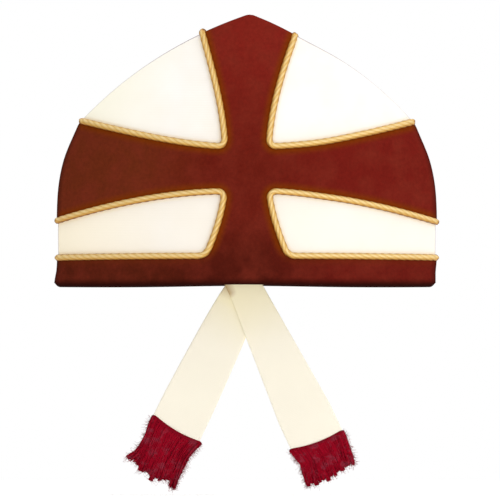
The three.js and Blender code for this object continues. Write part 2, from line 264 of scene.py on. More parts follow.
def grid_faces(rows, columns, round_rows=False, round_columns=False):
    """Quads of a grid of points, closed on itself down its rows or along its columns."""
    index = np.arange(rows * columns).reshape(rows, columns)
    if round_rows:
        index = np.concatenate([index, index[:1]], 0)
    if round_columns:
        index = np.concatenate([index, index[:, :1]], 1)
    corners = (index[:-1, :-1], index[:-1, 1:], index[1:, 1:], index[1:, :-1])
    return np.stack(corners, -1).reshape(-1, 4)


# The cloth doesn't lie quite even. Both tips lean to the right, the edge sags beside them there,
# and the cloth has slid down a little on the right and above the middle.
TIP_LEAN = 2.2
LEAN_POWER = 5
TIP_SAG = 2.8
SAG_PLACE = 46.0
SAG_HALF = 24.0
SLIDE = 1.1
SLIDE_FROM = (18.0, 62.0)
SLIDE_FOOT = (28.0, 52.0)
DIP = 0.9
DIP_HALF = 75.0
DIP_FOOT = (75.0, 97.0)
SLIDE_TOP = (135.0, 112.0)
MERGE = 1e-6


def smooth_step(low, high, value):
    """Nought below low, one above high and a soft rise between them."""
    t = np.clip((value - low) / (high - low), 0, 1)
    return t * t * (3 - 2 * t)


def settle(points):
    """How far each point is shifted in cloth that doesn't lie even: right by a power of the height,
    down near one place by that power too, and down by what has slid."""
    x, z = points[:, :1], points[:, 2:]
    lean = np.clip(z / TIP, 0, 1) ** LEAN_POWER
    sag = TIP_SAG * np.exp(-(((x - SAG_PLACE) / SAG_HALF) ** 2)) * lean
    slide = SLIDE * smooth_step(*SLIDE_FROM, x) * smooth_step(*SLIDE_FOOT, z)
    slide += DIP * np.exp(-((x / DIP_HALF) ** 2)) * smooth_step(*DIP_FOOT, z)
    return np.concatenate([TIP_LEAN * lean, 0 * z, -sag - slide * smooth_step(*SLIDE_TOP, z)], 1)


def add_piece(name, points, faces, cloth, material, node):
    """A smooth mesh of points in millimetres that takes the place of one node of the frame. Each
    point keeps its place on the cloth, and points that fall together become one."""
    points = points.reshape(-1, 3)
    mesh = bpy.data.meshes.new(name)
    mesh.from_pydata(((points + settle(points)) * MM).tolist(), [], faces)
    layer = mesh.attributes.new("cloth", "FLOAT_VECTOR", "POINT")
    layer.data.foreach_set("vector", np.ascontiguousarray(cloth, np.float32).ravel())
    mesh.materials.append(material)
    work = bmesh.new()
    work.from_mesh(mesh)
    bmesh.ops.remove_doubles(work, verts=work.verts, dist=MERGE)
    work.to_mesh(mesh)
    work.free()
    mesh.shade_smooth()
    piece = bpy.data.objects.new(name, mesh)
    bpy.context.scene.collection.objects.link(piece)
    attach(piece, "root")
    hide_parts(node)
    return piece


def linear(text):
    """Shader colour from the six hex digits of the colour that the eye sees."""
    value = np.array([int(text[i : i + 2], 16) for i in (0, 2, 4)]) / 255
    value = np.where(value <= 0.04045, value / 12.92, ((value + 0.055) / 1.055) ** 2.4)
    return (*value.tolist(), 1.0)


def new_material(name, slot):
    """A material with an empty node tree, that keeps the name of its slot."""
    material = bpy.data.materials.new(name)
    material.use_nodes = True
    material.node_tree.nodes.clear()
    material["slot"] = slot
    return material


def add_node(tree, kind, inputs, **settings):
    """One shader node: settings are its own, and an input is a value or another node's output."""
    node = tree.nodes.new(kind)
    for key, value in settings.items():
        setattr(node, key, value)
    for key, value in inputs.items():
        if isinstance(value, bpy.types.NodeSocket):
            tree.links.new(value, node.inputs[key])
        else:
            node.inputs[key].default_value = value
    return node


# Cream satin is close to white with a warm cast, nearly plain, with a soft broad gloss. Painted
# light and shade lie on it: painted light makes it paler higher up and down the lappets; warm
# painted shade lies on the left, beside the gold and at the lappets' tops; a painted shadow lies
# where the lappets cross; and grey painted shade lies along a turned edge and at the side seams.
# Its cross threads are drawn at 1.2 mm because real ones are too fine to show.
SATIN = linear("F3EDE4")
SATIN_LIT_ABOVE = linear("F8F6F4")
SATIN_LEFT_SHADE = linear("FBF0D7")
SATIN_LIT_UPPER_LEFT = linear("FFFBE7")
SATIN_SHADE = linear("ECE4D5")
SATIN_HANGING_PAINTED_LIGHT = linear("FDF7E5")
SATIN_EDGE_SHADE = linear("A2959A")
SATIN_UNDER_RIM_SHADE = linear("FEF4D0")
SATIN_GOLD_LIT_SHADE = linear("FFE8B4")
SATIN_CREASE_SHADOW = linear("B8965F")
MOTTLE = 38.5
THREAD = 1.2

# A wave texture of this scale repeats once in each unit.
WAVE = np.pi / 10

# The third place of a point on satin tells which part of the cloth it is, and so where its painted
# light and shade go: millimetres down a lappet, less than nought in the painted shadow where the
# lappets cross, FLAT_MARK on a panel's face, less by up to CORD_NEAR beside a cord, and from
# EDGE_MARK up on a turned edge.
FLAT_MARK = 500.0
CORD_NEAR = 20.0
EDGE_MARK = 600.0
EDGE_TOP = 700.0
EDGE_GREY = (610.0, 660.0)
CREASE_SHADOW_MARK = 60.0


def lay_tints(tree, tone, tints):
    """Lays tints over a tone one after another. A row gives the tint, the value that it follows,
    where on that it starts and is full, its share there, and how it comes in."""
    for tint, value, start, full, share, way in tints:
        amount = add_node(
            tree,
            "ShaderNodeMapRange",
            {"Value": value, "From Min": start, "From Max": full, "To Min": 0.0, "To Max": share},
            interpolation_type=way,
        )
        mix = add_node(
            tree, "ShaderNodeMix", {0: amount.outputs["Result"], 6: tone, 7: tint}, data_type="RGBA"
        )
        tone = mix.outputs[2]
    return tone


seam_place = float(cloth_places(np.array([RIGHT]), 0.0, 0.0)[0, 0])
satin = new_material("cream satin", "cream_cloth")
tree = satin.node_tree
cloth = add_node(tree, "ShaderNodeAttribute", {}, attribute_name="cloth")
parts = add_node(tree, "ShaderNodeSeparateXYZ", {"Vector": cloth.outputs["Vector"]})
sideways, up, part_mark = parts.outputs
from_middle = add_node(tree, "ShaderNodeMath", {0: sideways}, operation="ABSOLUTE")
place = add_node(tree, "ShaderNodeTexCoord", {})
mottle = add_node(
    tree,
    "ShaderNodeTexNoise",
    {"Vector": place.outputs["Object"], "Scale": 1 / (MOTTLE * MM), "Detail": 3.0},
)
# painted light from above: the satin is paler higher up, on the left as well
tone = lay_tints(tree, SATIN, [(SATIN_LIT_ABOVE, up, 60.0, 115.0, 1.0, "SMOOTHSTEP")])
left_shade_tone = lay_tints(tree, SATIN_LEFT_SHADE, [(SATIN_LIT_UPPER_LEFT, up, 60.0, 115.0, 1.0, "SMOOTHSTEP")])
mottled = add_node(
    tree, "ShaderNodeMix", {0: mottle.outputs[0], 6: SATIN_SHADE, 7: tone}, data_type="RGBA"
)
at_cord = FLAT_MARK - CORD_NEAR
tone = lay_tints(
    tree,
    mottled.outputs[2],
    (
        # painted warm shade on the left
        (left_shade_tone, sideways, -60.0, -145.0, 1.0, "LINEAR"),
        # painted shade beside a cord, warmed by light off the gold
        (SATIN_GOLD_LIT_SHADE, part_mark, at_cord + 5.2, at_cord + 2.5, 0.35, "SMOOTHSTEP"),
        # painted light: the lappets are drawn paler than the panels, against the hat's shade over
        # them
        (SATIN_HANGING_PAINTED_LIGHT, part_mark, 300.0, 200.0, 0.85, "LINEAR"),
        # warm painted shade at the tops of the lappets, under the rim
        (SATIN_UNDER_RIM_SHADE, part_mark, 52.0, 0.0, 1.0, "SMOOTHSTEP"),
        # painted shadow where one lappet passes behind the other
        (SATIN_CREASE_SHADOW, part_mark, 0.0, -CREASE_SHADOW_MARK, 0.9, "LINEAR"),
        # grey painted shade along a turned edge, and in the next row at the side seams
        (SATIN_EDGE_SHADE, part_mark, *EDGE_GREY, 0.85, "LINEAR"),
        (SATIN_EDGE_SHADE, from_middle.outputs["Value"], seam_place - 1.6, seam_place - 0.4, 0.8, "LINEAR"),
    ),
)
threads = add_node(
    tree,
    "ShaderNodeTexWave",
    {"Vector": cloth.outputs["Vector"], "Scale": WAVE / THREAD},
    bands_direction="Y",
)
relief = add_node(
    tree,
    "ShaderNodeBump",
    {"Height": threads.outputs["Color"], "Strength": 0.12, "Distance": 0.0002},
)
surface = add_node(
    tree,
    "ShaderNodeBsdfPrincipled",
    {
        "Base Color": tone,
        "Roughness": 0.62,
        "Specular IOR Level": 0.25,
        "Sheen Weight": 0.08,
        "Normal": relief.outputs["Normal"],
    },
)
add_node(tree, "ShaderNodeOutputMaterial", {"Surface": surface.outputs["BSDF"]})

ROWS, COLUMNS, EDGE_ROWS = 90, 181, 9
angle = np.linspace(-RIGHT, RIGHT, COLUMNS)
height = spread(PANEL_FOOT, edge_height(angle), np.linspace(0, 1, ROWS)[:, None])
outer = horn(angle, height, seam_dip(angle, height))
inner = horn(angle, height, -PANEL_THICK)
turn = np.linspace(0, np.pi, EDGE_ROWS + 2)[1:-1, None]
edge = over_edge(angle, turn, 0)[0]
panel = np.concatenate([outer, edge, inner[::-1]])
level = np.concatenate([height, np.broadcast_to(height[-1], edge.shape[:2]), height[::-1]])
# the mark steps down beside a cord, where the painted gold-lit shade lies
face_mark = FLAT_MARK - np.maximum(CORD_NEAR - np.abs(cord_distance(angle, height)), 0)
# near the seams the top row takes the painted shade of the turned edge
face_mark[-1] = spread(face_mark[-1], EDGE_GREY[1], np.sin(angle) ** 2)
mark = np.concatenate(
    [
        face_mark,
        np.broadcast_to(spread(EDGE_MARK, EDGE_TOP, np.sin(turn)), edge.shape[:2]),
        np.full_like(height, FLAT_MARK),
    ]
)
panel_cloth = cloth_places(angle, level, mark)
faces = grid_faces(*level.shape, round_rows=True).tolist()
index = np.arange(level.size).reshape(level.shape)
pair = np.arange(len(panel) // 2)
for column, way in ((0, 1), (-1, -1)):
    border = index[:, column]
    cap = np.stack([border[pair], border[pair + 1], border[-2 - pair], border[-1 - pair]], -1)
    faces += cap[:, ::way].tolist()
for half, way in (("front", 1), ("back", -1)):
    turned, places = panel * (way, way, 1), panel_cloth * (way, 1, 1)
    add_piece(f"{half}_panel_satin", turned, faces, places, satin, f"{half}_panel")

# Red cross: dark red cloth with a soft nap, laid over each panel as a cross whose arms widen to
# the edges and a band in one piece with it, rolled under the rim and turned over the tip.
RED_LIFT = 1.1
RED_LIFT_AT_TIP = 0.25
RED_TUCK = -0.5
RED_RISES = (-0.6, 1.8)
RED_LAP = 1.0
RIM_ROLL = 3.0
ROLL_GAP = 1.0
RIM_DROP = 0.7
RIM_CORNER = 2.0
RIM_ARCH = 1.4
RIM_ARCH_HALF = 60.0
RIM_PULL = 1.4
RIM_PULL_TOP = 20.0
RIM_SWELL_TOP = 12.0
RED_THICK = 0.9
RIM_TURN_UP = 12.0
TIP_TURN_DOWN = 8.0
TIP_FLUSH_FROM = 0.92
LOOK_UPS = 12
ROLL_ROWS, INSIDE_ROWS, TIP_ROWS, DROP_ROWS = 13, 6, 12, 6


def red_lift(away):
    """Height of the red over the satin: tucked under it where a cord hides the red's edge."""
    return spread(RED_TUCK, RED_LIFT, smooth_step(*RED_RISES, away))


def angle_at(spots):
    """Angle round the horn of points given as (x, z) in front view."""
    return np.arcsin(np.clip(spots[..., 0] / along_height(1, spots[..., 1]), -1, 1))


def leg_height(leg, angle):
    """Height at which a leg of a route crosses an angle, by looking it up until it stays."""
    order = np.argsort(leg[:, 0])
    level = np.full_like(angle, leg[:, 1].mean())
    for _ in range(LOOK_UPS):
        level = np.interp(along_height(1, level) * np.sin(angle), leg[order, 0], leg[order, 1])
    return level


def rim_rows(angle):
    """Angles, heights and offsets of the cloth round the rim, up to the foot of the outer face. The
    roll hangs less low beside the side seams, by a quarter circle seen from the front, and near
    the middle, by a shallow arch."""
    turn = np.linspace(np.pi, 0, ROLL_ROWS)[:-1, None]
    from_side = np.minimum(HALF_WIDTH * (1 - np.abs(np.sin(angle))) / RIM_CORNER, 1)
    arch = RIM_ARCH * np.exp(-((HALF_WIDTH * np.sin(angle) / RIM_ARCH_HALF) ** 2))
    hang = (RIM_ROLL + RIM_DROP) * np.sqrt(1 - (1 - from_side) ** 2) - arch
    inside = np.linspace(RIM_TURN_UP, RIM_ROLL + ROLL_GAP, INSIDE_ROWS)[:, None]
    level = np.concatenate([inside + 0 * angle, RIM_ROLL - hang * np.sin(turn)])
    offset = RIM_ROLL * np.concatenate([0 * inside - 1, np.cos(turn)]) - PANEL_THICK / 2
    return np.broadcast_arrays(angle, level, offset)


def red_block(angle, height, offset=None, most=RED_LIFT):
    """Points and places of one block of the red cloth, on the outer face unless offset is given,
    where it is raised no more than most."""
    away = cord_distance(angle, height)
    if offset is None:
        swell = RIM_ROLL - PANEL_THICK / 2 - RED_LIFT
        swell = swell * smooth_step(RIM_SWELL_TOP, RIM_ROLL, height)
        offset = np.minimum(red_lift(away), most) + swell + seam_dip(angle, height)
    return horn(angle, height, offset), cloth_places(angle, height, away)


STEM_COLUMNS, ARM_COLUMNS, BAND_COLUMNS = 33, 80, 76
CENTRE_ROWS, BAND_ROWS = 25, 15
STEM_STEP = 1.4
upper_inner, upper_outer = legs_of(UPPER_ROUTE)
lower_outer, lower_inner, lower_foot = legs_of(LOWER_ROUTE)
top_corner = np.add(UPPER_ROUTE[1][1], (RED_LAP, RED_LAP))
mid_corner = np.add(LOWER_ROUTE[1][1], (RED_LAP, -RED_LAP))
low_corner = np.add(LOWER_ROUTE[2][1], (RED_LAP, RED_LAP))
top_angle, mid_angle, low_angle = (float(angle_at(c)) for c in (top_corner, mid_corner, low_corner))

# The stem is a strip from the rim to the tip, given by the angle and the height of its border.
lower_side = even_steps((lower_inner + (RED_LAP, 0))[::-1], STEM_STEP)[1:-1]
upper_side = even_steps((upper_inner + (RED_LAP, 0))[::-1], STEM_STEP)[1:]
upper_side = upper_side[upper_side[:, 1] < edge_height(angle_at(upper_side)) - STEM_STEP / 2]
tip_angle = float(angle_at(upper_side[-1]))
band_share, centre_share = np.linspace(0, 1, BAND_ROWS), np.linspace(0, 1, CENTRE_ROWS)
side_angle = np.concatenate(
    [
        np.full(BAND_ROWS, low_angle),
        angle_at(lower_side),
        spread(mid_angle, top_angle, centre_share),
        angle_at(upper_side),
        [tip_angle],
    ]
)[:, None]
side_height = np.concatenate(
    [
        spread(RIM_ROLL, low_corner[1], band_share),
        lower_side[:, 1],
        spread(mid_corner[1], top_corner[1], centre_share),
        upper_side[:, 1],
        edge_height(np.array([tip_angle])),
    ]
)[:, None]
across = np.linspace(-1, 1, STEM_COLUMNS)
tip_share = np.maximum(side_height - top_corner[1], 0) / (side_height[-1] - top_corner[1])
stem_angle = across * side_angle
stem_height = side_height + tip_share * (edge_height(across * tip_angle) - side_height[-1])
flush = spread(RED_LIFT, RED_LIFT_AT_TIP, smooth_step(TIP_FLUSH_FROM, 1, tip_share))
stem, stem_cloth = red_block(stem_angle, stem_height, most=flush)
rim, rim_cloth = red_block(*rim_rows(across * low_angle))
tip_lift = np.minimum(red_lift(stem_cloth[-1, :, 2]), RED_LIFT_AT_TIP)
tip = over_edge(stem_angle[-1], np.linspace(0, np.pi, TIP_ROWS)[1:, None], tip_lift)[0]
drop = np.linspace(0, TIP_TURN_DOWN, DROP_ROWS)[1:, None]
turned_down = horn(stem_angle[-1], stem_height[-1] - drop, -PANEL_THICK - tip_lift)
tip = np.concatenate([tip, turned_down])
blocks = [
    (
        np.concatenate([rim, stem, tip]),
        np.concatenate([rim_cloth, stem_cloth, np.broadcast_to(stem_cloth[-1], tip.shape)]),
    )
]

# Each side arm runs from the stem to the side seam between two cords, and the band likewise
# between the rim and the lowest cord.
arm_share = np.linspace(0, 1, ARM_COLUMNS)
arm_angle = spread(spread(mid_angle, top_angle, centre_share)[:, None], RIGHT, arm_share)
arm_foot = leg_height(lower_outer - (0, RED_LAP), arm_angle)
arm_top = np.minimum(leg_height(upper_outer + (0, RED_LAP), arm_angle), edge_height(arm_angle))
arm_foot[:, 0], arm_top[:, 0] = mid_corner[1], top_corner[1]
arm_height = spread(arm_foot, arm_top, centre_share[:, None])
band_angle = spread(low_angle, RIGHT, np.linspace(0, 1, BAND_COLUMNS))
band_top = leg_height(lower_foot + (0, RED_LAP), band_angle)
band_top[0] = low_corner[1]
band_height = spread(RIM_ROLL, band_top, band_share[:, None])
for side in (1, -1):
    arm = red_block(side * arm_angle[:, ::side], arm_height[:, ::side])
    face = red_block(*np.broadcast_arrays(side * band_angle[::side], band_height[:, ::side]))
    roll = red_block(*rim_rows(side * band_angle[::side]))
    blocks += [arm, tuple(np.concatenate(pair) for pair in zip(roll, face))]

# Red nap is a dark, even red that a fine fuzz breaks up, lighter where the pile leans over. Painted
# light and shade lie on it: darker by the rim and paler towards the tip, as lit from above; browner
# and in painted shade on the left, brighter in painted light on the right; a brown painted
# reflection of the gold beside a cord; painted shade at the side seams; and nearly black painted
# shade under the rim.
RED_TONES_LIT_FROM_ABOVE = ((0.02, "46130A"), (0.12, "4F160C"), (0.26, "60190F"), (0.45, "5F180E"), (0.88, "741D15"))
RED_LEFT_PAINTED_SHADE = linear("622C12")
RED_RIGHT_PAINTED_LIGHT = linear("6E1712")
RED_WORN = linear("74281B")
RED_GOLD_REFLECTION = linear("733000")
RED_SEAM_SHADE = linear("2A0C07")
RED_UNDER_RIM_SHADE = linear("240804")
PILE_PATCH = 14.29
PILE_TUFT = 2.38
PILE = 1.43


def fill_ramp(ramp, tones):
    """Gives a colour ramp its rows of place and hex colour."""
    stops = ramp.color_ramp.elements
    for row, (spot, colour) in enumerate(tones):
        stop = stops[row] if row < len(stops) else stops.new(spot)
        stop.position = spot
        stop.color = linear(colour)


nap = new_material("red napped cloth", "red_cloth")
tree = nap.node_tree
cloth = add_node(tree, "ShaderNodeAttribute", {}, attribute_name="cloth")
parts = add_node(tree, "ShaderNodeSeparateXYZ", {"Vector": cloth.outputs["Vector"]})
sideways, up, from_cord = parts.outputs
from_middle = add_node(tree, "ShaderNodeMath", {0: sideways}, operation="ABSOLUTE")
place = add_node(tree, "ShaderNodeTexCoord", {})
# painted light from above: the red is darker by the rim and paler towards the tip
rise = add_node(tree, "ShaderNodeMapRange", {"Value": up, "From Min": 0.0, "From Max": TIP})
ramp = add_node(tree, "ShaderNodeValToRGB", {"Fac": rise.outputs["Result"]})
fill_ramp(ramp, RED_TONES_LIT_FROM_ABOVE)
left_shade_share, right_light_share, gold_reflection_above_band = (
    add_node(
        tree,
        "ShaderNodeMapRange",
        {"Value": up, "From Min": low, "From Max": high, "To Min": at_rim, "To Max": above},
    ).outputs["Result"]
    for low, high, at_rim, above in (
        (15.0, 45.0, 0.2, 0.6),
        (15.0, 45.0, 0.5, 0.55),
        (19.0, 28.0, 0.2, 0.95),
    )
)
patch, tuft, pile = (
    add_node(
        tree,
        "ShaderNodeTexNoise",
        {"Vector": place.outputs["Object"], "Scale": 1 / (size * MM), "Detail": detail},
    ).outputs[0]
    for size, detail in ((PILE_PATCH, 5.0), (PILE_TUFT, 3.0), (PILE, 2.0))
)
tone = lay_tints(
    tree,
    ramp.outputs["Color"],
    (
        # painted shade on the left, browner
        (RED_LEFT_PAINTED_SHADE, sideways, -25.0, -80.0, left_shade_share, "LINEAR"),
        # painted light from the right, brighter crimson
        (RED_RIGHT_PAINTED_LIGHT, sideways, 10.0, 70.0, right_light_share, "LINEAR"),
        (RED_WORN, patch, 0.4, 0.75, 0.5, "LINEAR"),
        # painted brown reflection of the gold beside a cord, weaker on the band
        (RED_GOLD_REFLECTION, from_cord, 8.5, 1.5, gold_reflection_above_band, "SMOOTHSTEP"),
        # painted shade at the side seams
        (RED_SEAM_SHADE, from_middle.outputs["Value"], seam_place - 7.0, seam_place, 0.65, "SMOOTHSTEP"),
        # nearly black painted shade under the rim
        (RED_UNDER_RIM_SHADE, up, 6.5, 0.0, 1.0, "SMOOTHSTEP"),
    ),
)
tuft_light = add_node(
    tree,
    "ShaderNodeMapRange",
    {"Value": tuft, "From Min": 0.3, "From Max": 0.7, "To Min": 0.92, "To Max": 1.11},
)
shade = add_node(
    tree, "ShaderNodeHueSaturation", {"Color": tone, "Value": tuft_light.outputs["Result"]}
)
relief = add_node(
    tree, "ShaderNodeBump", {"Height": pile, "Strength": 0.35, "Distance": 0.0004}
)
surface = add_node(
    tree,
    "ShaderNodeBsdfPrincipled",
    {
        "Base Color": shade.outputs["Color"],
        "Roughness": 0.9,
        "Specular IOR Level": 0.03,
        "Normal": relief.outputs["Normal"],
    },
)
add_node(tree, "ShaderNodeOutputMaterial", {"Surface": surface.outputs["BSDF"]})

faces, first = [], 0
for points, places in blocks:
    faces += (grid_faces(*points.shape[:2]) + first).tolist()
    first += points[..., 0].size
cross = np.concatenate([points.reshape(-1, 3) for points, places in blocks])
cross_cloth = np.concatenate([places.reshape(-1, 3) for points, places in blocks])
for half, way in (("front", 1), ("back", -1)):
    pull = RIM_PULL * smooth_step(RIM_PULL_TOP, 0.0, cross[:, 2:])
    turned, places = cross * (way, way, 1) - pull * (1, 0, 0), cross_cloth * (way, 1, 1)
    piece = add_piece(f"{half}_cross_nap", turned, faces, places, nap, f"{half}_cross")
    wall = piece.modifiers.new("cloth", "SOLIDIFY")
    wall.thickness = RED_THICK * MM
    wall.offset = -1.0

# Gold cord: four strands twisted together, couched along the edges of the cross. An upper cord
# comes out over the free edge, and the other ends run into the side seams.
CORD_RADIUS = 2.45
CORD_LIFT = 1.3
CORD_LIFT_AT_EDGE = {-1: 0.9, 1: -0.3}
CORD_LIFT_AT_SEAM = 0.7
CORD_EASE = 7.0
CORD_PITCH = 24.0
CORD_STEP = 0.8
STRANDS = 4
STRAND_SIDES = 8
STRAND_RADIUS = 1.5
CORD_END = 2.0
CORD_TUCK = 6.0
CORD_SKYWARD = 0.35
CORD_RISE_SHARE = 0.85
CORD_END_SHADE = 0.9
CORD_END_LEAST = 0.05
CORD_DARK_AT_END = (3.0, 0.8)
CORD_DARK_ON_TOP = (0.55, 0.95)
OVER_STEPS, TUCK_STEPS, TUCK_CLEAR = 16, 10, 0.5


def tube(path, out, radius, sides):
    """Points of a tube: rings of a radius round a path, the first point of each on the side that
    is out. The path may be many paths at once."""
    run = np.gradient(path, axis=-2)
    run /= np.linalg.norm(run, axis=-1, keepdims=True)
    out = out - (out * run).sum(-1, keepdims=True) * run
    out /= np.linalg.norm(out, axis=-1, keepdims=True)
    beside = np.cross(run, out)
    turn = (np.arange(sides) * 2 * np.pi / sides)[:, None]
    ring = out[..., None, :] * np.cos(turn) + beside[..., None, :] * np.sin(turn)
    return path[..., None, :] + np.asarray(radius)[..., None, None] * ring


def tube_faces(count, rings, sides, first=0):
    """Faces of a number of tubes one after another, with both ends of each closed. The first point
    of the first tube has the index first."""
    first = first + (np.arange(count) * rings * sides)[:, None, None]
    walls = (grid_faces(rings, sides, round_columns=True) + first).reshape(-1, 4).tolist()
    ring = np.arange(sides)
    starts = (ring[::-1] + first[:, 0]).tolist()
    ends = (ring + (rings - 1) * sides + first[:, 0]).tolist()
    return walls + starts + ends


def cord_path(line, hand, over):
    """Middle of a cord along a line of (x, z), on the right of the front for a hand of 1 and on
    the left for -1, and the way out at each point. It lies lower near its ends, and over says
    whether it starts inside the free edge."""
    angle, height = hand * angle_at(line), line[:, 1]
    if over:
        kept = height < edge_height(angle)
        angle, height = angle[kept], height[kept]
    length = np.concatenate([[0], np.cumsum(np.hypot(*np.diff(line[-len(angle) :], axis=0).T))])
    start_lift = CORD_LIFT_AT_EDGE[hand] if over else CORD_LIFT_AT_SEAM
    lift = np.minimum(
        spread(start_lift, CORD_LIFT, smooth_step(0, CORD_EASE, length)),
        spread(CORD_LIFT_AT_SEAM, CORD_LIFT, smooth_step(0, CORD_EASE, length[-1] - length)),
    )
    path = horn(angle, height, lift)
    out = horn(angle, height, lift + 1) - path
    if over:
        at = np.full(OVER_STEPS, angle[0])
        turn = np.linspace(np.pi, 0, OVER_STEPS)
        bend, bend_out = over_edge(at, turn, np.full(OVER_STEPS, start_lift))
        at = at[:TUCK_STEPS]
        down = np.linspace(CORD_TUCK, TUCK_CLEAR, TUCK_STEPS)
        tuck = horn(at, edge_height(at) - down, -PANEL_THICK - start_lift)
        path = np.concatenate([tuck, bend, path])
        out = np.concatenate([np.repeat(bend_out[:1], TUCK_STEPS, 0), bend_out, out])
    both = even_steps(np.concatenate([path, out], 1), CORD_STEP)
    return both[:, :3], both[:, 3:]


# Gold thread is pale yellow gold with a soft metal shine. Painted light and shade lie on it: a
# painted highlight where a strand faces out and up, and browner painted shade in the grooves between
# the strands, at the ends and where a cord turns over the free edge. Its own fine windings are drawn
# at 0.9 mm because real ones are too fine to show.
GOLD_SHADE_TO_HIGHLIGHT = ((0.05, "855018"), (0.4, "BF8A38"), (0.72, "D3A858"), (1.0, "EED396"))
WINDING = 0.9
gold = new_material("gold thread", "gold_cord")
tree = gold.node_tree
cloth = add_node(tree, "ShaderNodeAttribute", {}, attribute_name="cloth")
parts = add_node(tree, "ShaderNodeSeparateXYZ", {"Vector": cloth.outputs["Vector"]})
ramp = add_node(tree, "ShaderNodeValToRGB", {"Fac": parts.outputs["Z"]})
fill_ramp(ramp, GOLD_SHADE_TO_HIGHLIGHT)
windings = add_node(
    tree,
    "ShaderNodeTexWave",
    {"Vector": cloth.outputs["Vector"], "Scale": WAVE / WINDING},
    bands_direction="DIAGONAL",
)
relief = add_node(
    tree,
    "ShaderNodeBump",
    {"Height": windings.outputs["Color"], "Strength": 0.3, "Distance": 0.0002},
)
surface = add_node(
    tree,
    "ShaderNodeBsdfPrincipled",
    {
        "Base Color": ramp.outputs["Color"],
        "Metallic": 0.35,
        "Roughness": 0.45,
        "Normal": relief.outputs["Normal"],
    },
)
add_node(tree, "ShaderNodeOutputMaterial", {"Surface": surface.outputs["BSDF"]})

for half, way in (("front", 1), ("back", -1)):
    for place, line in (("upper", upper_line), ("lower", lower_line)):
        for side, hand in (("left", -1), ("right", 1)):
            path, out = cord_path(line, hand, place == "upper")
            path, out = path * (way, way, 1), out * (way, way, 1)
            run = np.gradient(path, axis=0)
            run /= np.linalg.norm(run, axis=1, keepdims=True)
            out = out - (out * run).sum(1, keepdims=True) * run
            out /= np.linalg.norm(out, axis=1, keepdims=True)
            beside = np.cross(run, out)
            along = np.arange(len(path)) * CORD_STEP
            lay = 2 * np.pi * (along / CORD_PITCH + np.arange(STRANDS)[:, None] / STRANDS)[..., None]
            lean = out * np.cos(lay) + beside * np.sin(lay)
            to_end = np.minimum(along, along[-1] - along)
            taper = np.sqrt(1 - (1 - np.clip(to_end / CORD_END, CORD_END_LEAST, 1)) ** 2)
            strands = tube(
                path + (CORD_RADIUS - STRAND_RADIUS) * taper[:, None] * lean,
                lean,
                STRAND_RADIUS * np.broadcast_to(taper, lay.shape[:2]),
                STRAND_SIDES,
            )
            # painted light and shade on the strands: lighter where a strand faces out and up, darker
            # in the grooves, and darker still at the ends and where a cord turns over the free edge
            around = np.arange(STRAND_SIDES) / STRAND_SIDES
            crest = 0.5 + 0.5 * np.cos(2 * np.pi * around)
            bright = out + np.array([0, 0, CORD_SKYWARD])
            bright /= np.linalg.norm(bright, axis=1, keepdims=True)
            rise = ((strands - path[:, None]) * bright[:, None]).sum(-1) / CORD_RADIUS
            dark = np.maximum(
                smooth_step(*CORD_DARK_AT_END, to_end), smooth_step(*CORD_DARK_ON_TOP, out[:, 2])
            )
            light = spread(crest, rise, CORD_RISE_SHARE) - CORD_END_SHADE * dark[:, None]
            winding = around * 2 * np.pi * STRAND_RADIUS
            places = np.stack(np.broadcast_arrays(winding, along[:, None], light), -1)
            add_piece(
                f"{half}_cord_{place}_{side}_gold",
                strands,
                tube_faces(STRANDS, len(path), STRAND_SIDES),
                places,
                gold,
                f"{half}_cord_{place}_{side}",
            )

# Crown gusset: soft red cloth sewn inside the free edges, that folds down between the horns and
# closes the hat over the head.
GUSSET_DROP = 2.5
GUSSET_THICK = 0.9
GUSSET_VALLEY = 112.5
GUSSET_RISE = 13.0
GUSSET_POWER = 1.5
GUSSET_INSET = 0.6
GUSSET_REACH = 0.985
GUSSET_LEAST = 0.5
GUSSET_ROWS, GUSSET_COLUMNS = 61, 121
PLEATS = 8
PLEAT = 0.7
TONE_AT_FOLD, TONE_RISE, FROM_CORD = 100.0, 40.0, 50.0
along = np.linspace(-GUSSET_REACH, GUSSET_REACH, GUSSET_COLUMNS)
rim_angle = along * RIGHT
sewn = horn(rim_angle, edge_height(rim_angle) - GUSSET_DROP, -PANEL_THICK - GUSSET_INSET)
across = np.linspace(1, -1, GUSSET_ROWS)[:, None]
valley = np.minimum(GUSSET_VALLEY + GUSSET_RISE * np.cos(rim_angle), sewn[:, 2] - GUSSET_LEAST)
pleat = PLEAT * np.cos(2 * np.pi * PLEATS * along) * (1 - across**2) * np.cos(rim_angle)
gusset = np.stack(
    [
        np.broadcast_to(sewn[:, 0], (GUSSET_ROWS, GUSSET_COLUMNS)),
        sewn[:, 1] * across,
        spread(valley, sewn[:, 2], np.abs(across) ** GUSSET_POWER) + pleat,
    ],
    -1,
)
# the gusset takes the red's painted light from above, paler on the front half, and lies far from any
# cord so no gold reflection is painted on it
gusset_cloth = cloth_places(rim_angle, TONE_AT_FOLD + TONE_RISE * across, FROM_CORD)
faces = grid_faces(GUSSET_ROWS, GUSSET_COLUMNS).tolist()
piece = add_piece("crown_gusset_nap", gusset, faces, gusset_cloth, nap, "crown_gusset")
wall = piece.modifiers.new("cloth", "SOLIDIFY")
wall.thickness = GUSSET_THICK * MM
wall.offset = 0.0

